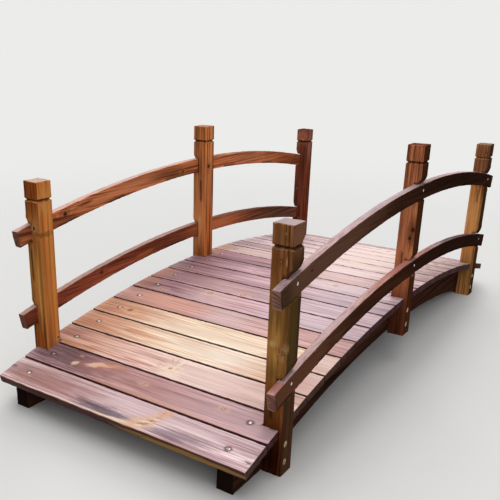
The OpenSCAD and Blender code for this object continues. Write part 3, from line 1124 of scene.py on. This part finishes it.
def addPost(name):
    look = {**postLook, **postLooks[name]}
    outWay = (0, outSide(name), 0)
    low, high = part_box(name)
    centre = (low + high) / 2
    foot = Vector((centre.x, centre.y, 0))
    bolts = boltPlaces(name)
    cutters = [sinking(at, outWay, postSizes["boltWide"], postSizes["boltDeep"]) for at in bolts]
    lines = []
    half, spacing, deep = postSizes["half"], postSizes["ring"], postSizes["checkDeep"]
    rise, left, long, wide = postChecks[name]
    at = foot + Vector((-half, left / 1000, rise / 1000))
    cutters.append(crack(lines, at, (-1, 0, 0), (0, 0.02, 1), long / 1000, wide / 1000, deep))
    for onward, left, rise, *size in postChips.get(name, []):
        cutters.append(scoop(foot + Vector((onward, left, rise)) / 1000, [part / 1000 for part in size]))
    upright = ((0, 0, 1), (high.z - low.z) / 2, spacing)
    cuts = [upright, ((1, 0, 0), half, spacing), ((0, 1, 0), half, spacing)]
    post = shapeWood(name, postSizes, centre, cuts, cutters, bolts, lines)
    weather(post, (0, 0, 1), look["seed"])
    settle(post, woodFinish(name, look, foot, sawnUpright, (0, -1, 0), outWay), name)


for name in postLooks:
    addPost(name)
print("posts made")


# side beams, dark with oil and shade
beamLook = {
    **boardLook, "gloss": 0.0, "light": (82, 50, 38), "dark": (44, 27, 22), "stain": (34, 22, 20),
    "end": (34, 24, 20), "ring": 6.5, "pith": (-20, -100), "wander": 16, "flank": 0.0,
    "wearTone": (120, 80, 60), "wear": 0.35, "rough": 0.55, "marks": [],
}
beamSeeds = {"right_beam": 51.4, "left_beam": 53.6}
beamSizes = {"roundOver": 0.0010, "rings": (0.012, 0.011)}


def addBeam(name):
    look = {**beamLook, "seed": beamSeeds[name]}
    low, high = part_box(name)
    centre = (low + high) / 2
    coarse, fine = beamSizes["rings"]
    cuts = [((1, 0, 0), (high.x - low.x) / 2, coarse), ((0, 1, 0), (high.y - low.y) / 2, fine)]
    beam = shapeWood(name, beamSizes, centre, cuts, [], [], [], upright=fine, seams=False)
    weather(beam, (1, 0, 0), look["seed"])
    outWay = (0, outSide(name), 0)
    settle(beam, woodFinish(name, look, centre, sawnAlong, (0, 0, 1), outWay), name)


for name in beamSeeds:
    addBeam(name)
print("beams made")
bpy.data.objects.remove(grainEmpty)


# steel screws and bolts: countersunk heads with a cross recess, a little below the wood
steelLooks = {
    # screwSteel is near white for a painted glint on the heads
    "screwSteel": {"steel": (246, 243, 238), "dull": (186, 178, 168), "rust": (150, 104, 66), "rough": 0.40},
    "boltZinc": {"steel": (212, 186, 142), "dull": (140, 112, 76), "rust": (158, 98, 50), "rough": 0.36},
    # a darker copy for the right deck screws: partly dust, partly painted shade
    "wornShadedSteel": {"steel": (206, 196, 192), "dull": (116, 100, 96), "rust": (150, 104, 66), "rough": 0.40},
}
headSizes = {      # the head's width, and its depth below the wood
    "deck": (0.0096, 0.0004),
    "rail": (0.0088, 0.0007),
    "bolt": (0.0164, 0.0010),
}
headShape = {      # in shares of the head's width
    "thick": 0.30,
    "underside": 0.5,
    "dome": ((0.05, 0.025), (0.12, 0.015)),     # a slight dome in two steps: inwards and upwards
    "recess": (0.10, 0.36, 0.5),                # an arm of the cross: half length at its foot and top, depth
    "recessUp": 0.08,
    "armWidth": 0.28,                           # in shares of the arm's length
    "smoothAngle": 30,                          # in degrees
    "turnStep": 0.83,                           # from one head to the next, in radians
}


def steelFinish(name):
    look = steelLooks[name]
    finish, shader, spot = newFinish(name)
    patchy, spots = noise(spot, detail=3.0, scale=420.0), noise(spot, scale=130.0)
    colour = mixed(ramp(patchy, 0.4, 0.65), tone(*look["steel"]), tone(*look["dull"]))
    fill(shader, {
        "Base Color": mixed(ramp(spots, 0.56, 0.7), colour, tone(*look["rust"])),
        "Roughness": timesPlus(patchy, 0.3, look["rough"] - 0.15),
        "Metallic": ramp(spots, 0.66, 0.5, 0.3, 1.0)})
    return finish


def makeHead(wide):
    thick = wide * headShape["thick"]
    bpy.ops.mesh.primitive_cylinder_add(
        vertices=28, radius=wide / 2, depth=thick, location=(0, 0, -thick / 2))
    head = bpy.context.object
    selectOnly(head)
    bpy.ops.object.transform_apply(location=True, rotation=False, scale=False)
    editOnly(head, "FACE", lambda face: face.normal.z < -0.9)
    taper = headShape["underside"]
    bpy.ops.transform.resize(value=(taper, taper, 1))
    editOnly(head, "FACE", lambda face: face.normal.z > 0.9)
    for inset, rise in headShape["dome"]:
        bpy.ops.mesh.inset(thickness=wide * inset, depth=wide * rise)
    enter("OBJECT")
    arms = []
    foot, top, depth = [wide * share for share in headShape["recess"]]
    for roll in (0, math.pi / 2):
        bpy.ops.mesh.primitive_cone_add(vertices=4, radius1=foot, radius2=top, depth=depth)
        arm = bpy.context.object
        arm.scale = (1, headShape["armWidth"], 1)
        arm.rotation_euler = (0, 0, roll)
        arm.location = (0, 0, wide * headShape["recessUp"])
        bpy.ops.object.transform_apply(location=True, rotation=True, scale=True)
        arms.append(arm)
    cutAway(head, arms)
    selectOnly(head)
    bpy.ops.object.shade_smooth_by_angle(angle=math.radians(headShape["smoothAngle"]))
    return head


# copies of one head, each at its place along the wood's normal, turned further than the last
def addHeads(name, kind, finish, places):
    wide, sink = headSizes[kind]
    head = makeHead(wide)
    copies = []
    for number, (at, way) in enumerate(places):
        way = Vector(way).normalized()
        turn = turned(way, number * headShape["turnStep"] + wide * 90).to_matrix().to_4x4()
        copy = bpy.data.objects.new(name, head.data.copy())
        bpy.context.scene.collection.objects.link(copy)
        copy.matrix_world = Matrix.Translation(Vector(at) - way * sink) @ turn
        copies.append(copy)
    bpy.data.objects.remove(head)
    heads = joined(copies)
    heads.name = name
    bpy.ops.object.transform_apply(location=True, rotation=True, scale=True)
    settle(heads, finish)


screwSteel, boltZinc, wornShadedSteel = [steelFinish(name) for name in steelLooks]
for side, word, deckSteel in ((-1, "right", wornShadedSteel), (1, "left", screwSteel)):
    out = (0, side, 0)
    deckScrews = [(boardScrew(number, side), boardWays(number)[1]) for number in boardLooks]
    sideScrews = [(at, out) for name in railLooks if outSide(name) == side for at in railScrews(name)]
    bolts = [(at, out) for name in postLooks if outSide(name) == side for at in boltPlaces(name)]
    addHeads(word + "_deck_screws", "deck", deckSteel, deckScrews)
    addHeads(word + "_rail_screws", "rail", screwSteel, sideScrews)
    addHeads(word + "_post_bolts", "bolt", boltZinc, bolts)
print("screws and bolts made")


# plain studio: pale floor, soft light from above and from beyond the far end
studio = {
    "floor": (224, 222, 218),
    "floorBounce": (112, 108, 100),
    "backdrop": (236, 236, 234),
    "floorSize": 60,
    "fade": (1.6, 4.5),       # metres from the bridge over which the floor turns into the backdrop
    "sky": (0.82, 0.86, 0.92, 1),
    "skyStrength": 0.42,
    "lights": {               # where it comes from, its width in degrees, strength
        "overheadLight": ((0.05, 0.1, 1.0), 60, 1.25),
        "farLight": ((0.74, 0.30, 0.60), 36, 1.15),
        "nearLight": ((-0.55, -0.70, 0.60), 60, 0.5),
    },
}


def seenDirectly(tree):
    path = put("LightPath", {}, tree)
    seen = calc("MAXIMUM", path["Is Camera Ray"], path["Is Glossy Ray"])
    return calc("MAXIMUM", seen, path["Is Transmission Ray"])


def addStage(look):
    bpy.ops.mesh.primitive_plane_add(size=look["floorSize"], location=(0, 0, 0))
    floor = bpy.context.object
    floor.name = "studioFloor"
    finish, shader, spot = newFinish("paleFloor")
    seen = seenDirectly(finish.node_tree)
    away = put("VectorMath", {0: spot}, operation="LENGTH")["Value"]
    fade = ramp(away, *look["fade"]) * seen
    near = mixed(seen, tone(*look["floorBounce"]), tone(*look["floor"]))
    black, backdrop = (0, 0, 0, 1), tone(*look["backdrop"])
    fill(shader, {
        "Base Color": mixed(fade, near, black), "Emission Color": mixed(fade, black, backdrop),
        "Emission Strength": 1.0, "Roughness": 0.9, "Specular IOR Level": 0.0})
    floor.data.materials.append(finish)
    for label, (way, wide, strength) in look["lights"].items():
        bpy.ops.object.light_add(type="SUN", location=Vector(way) * 4, rotation=turned(way))
        light = bpy.context.object
        light.name = label
        light.data.angle, light.data.energy = math.radians(wide), strength
    world = bpy.data.worlds.new("studioWorld")
    world.use_nodes = True
    seen = seenDirectly(world.node_tree)
    fill(world.node_tree.nodes["Background"], {
        "Color": mixed(seen, look["sky"], backdrop),
        "Strength": ramp(seen, 0.0, 1.0, look["skyStrength"], 1.0)})
    bpy.context.scene.world = world


addStage(studio)
bpy.context.scene.view_settings.view_transform = "Standard"
print("stage set")
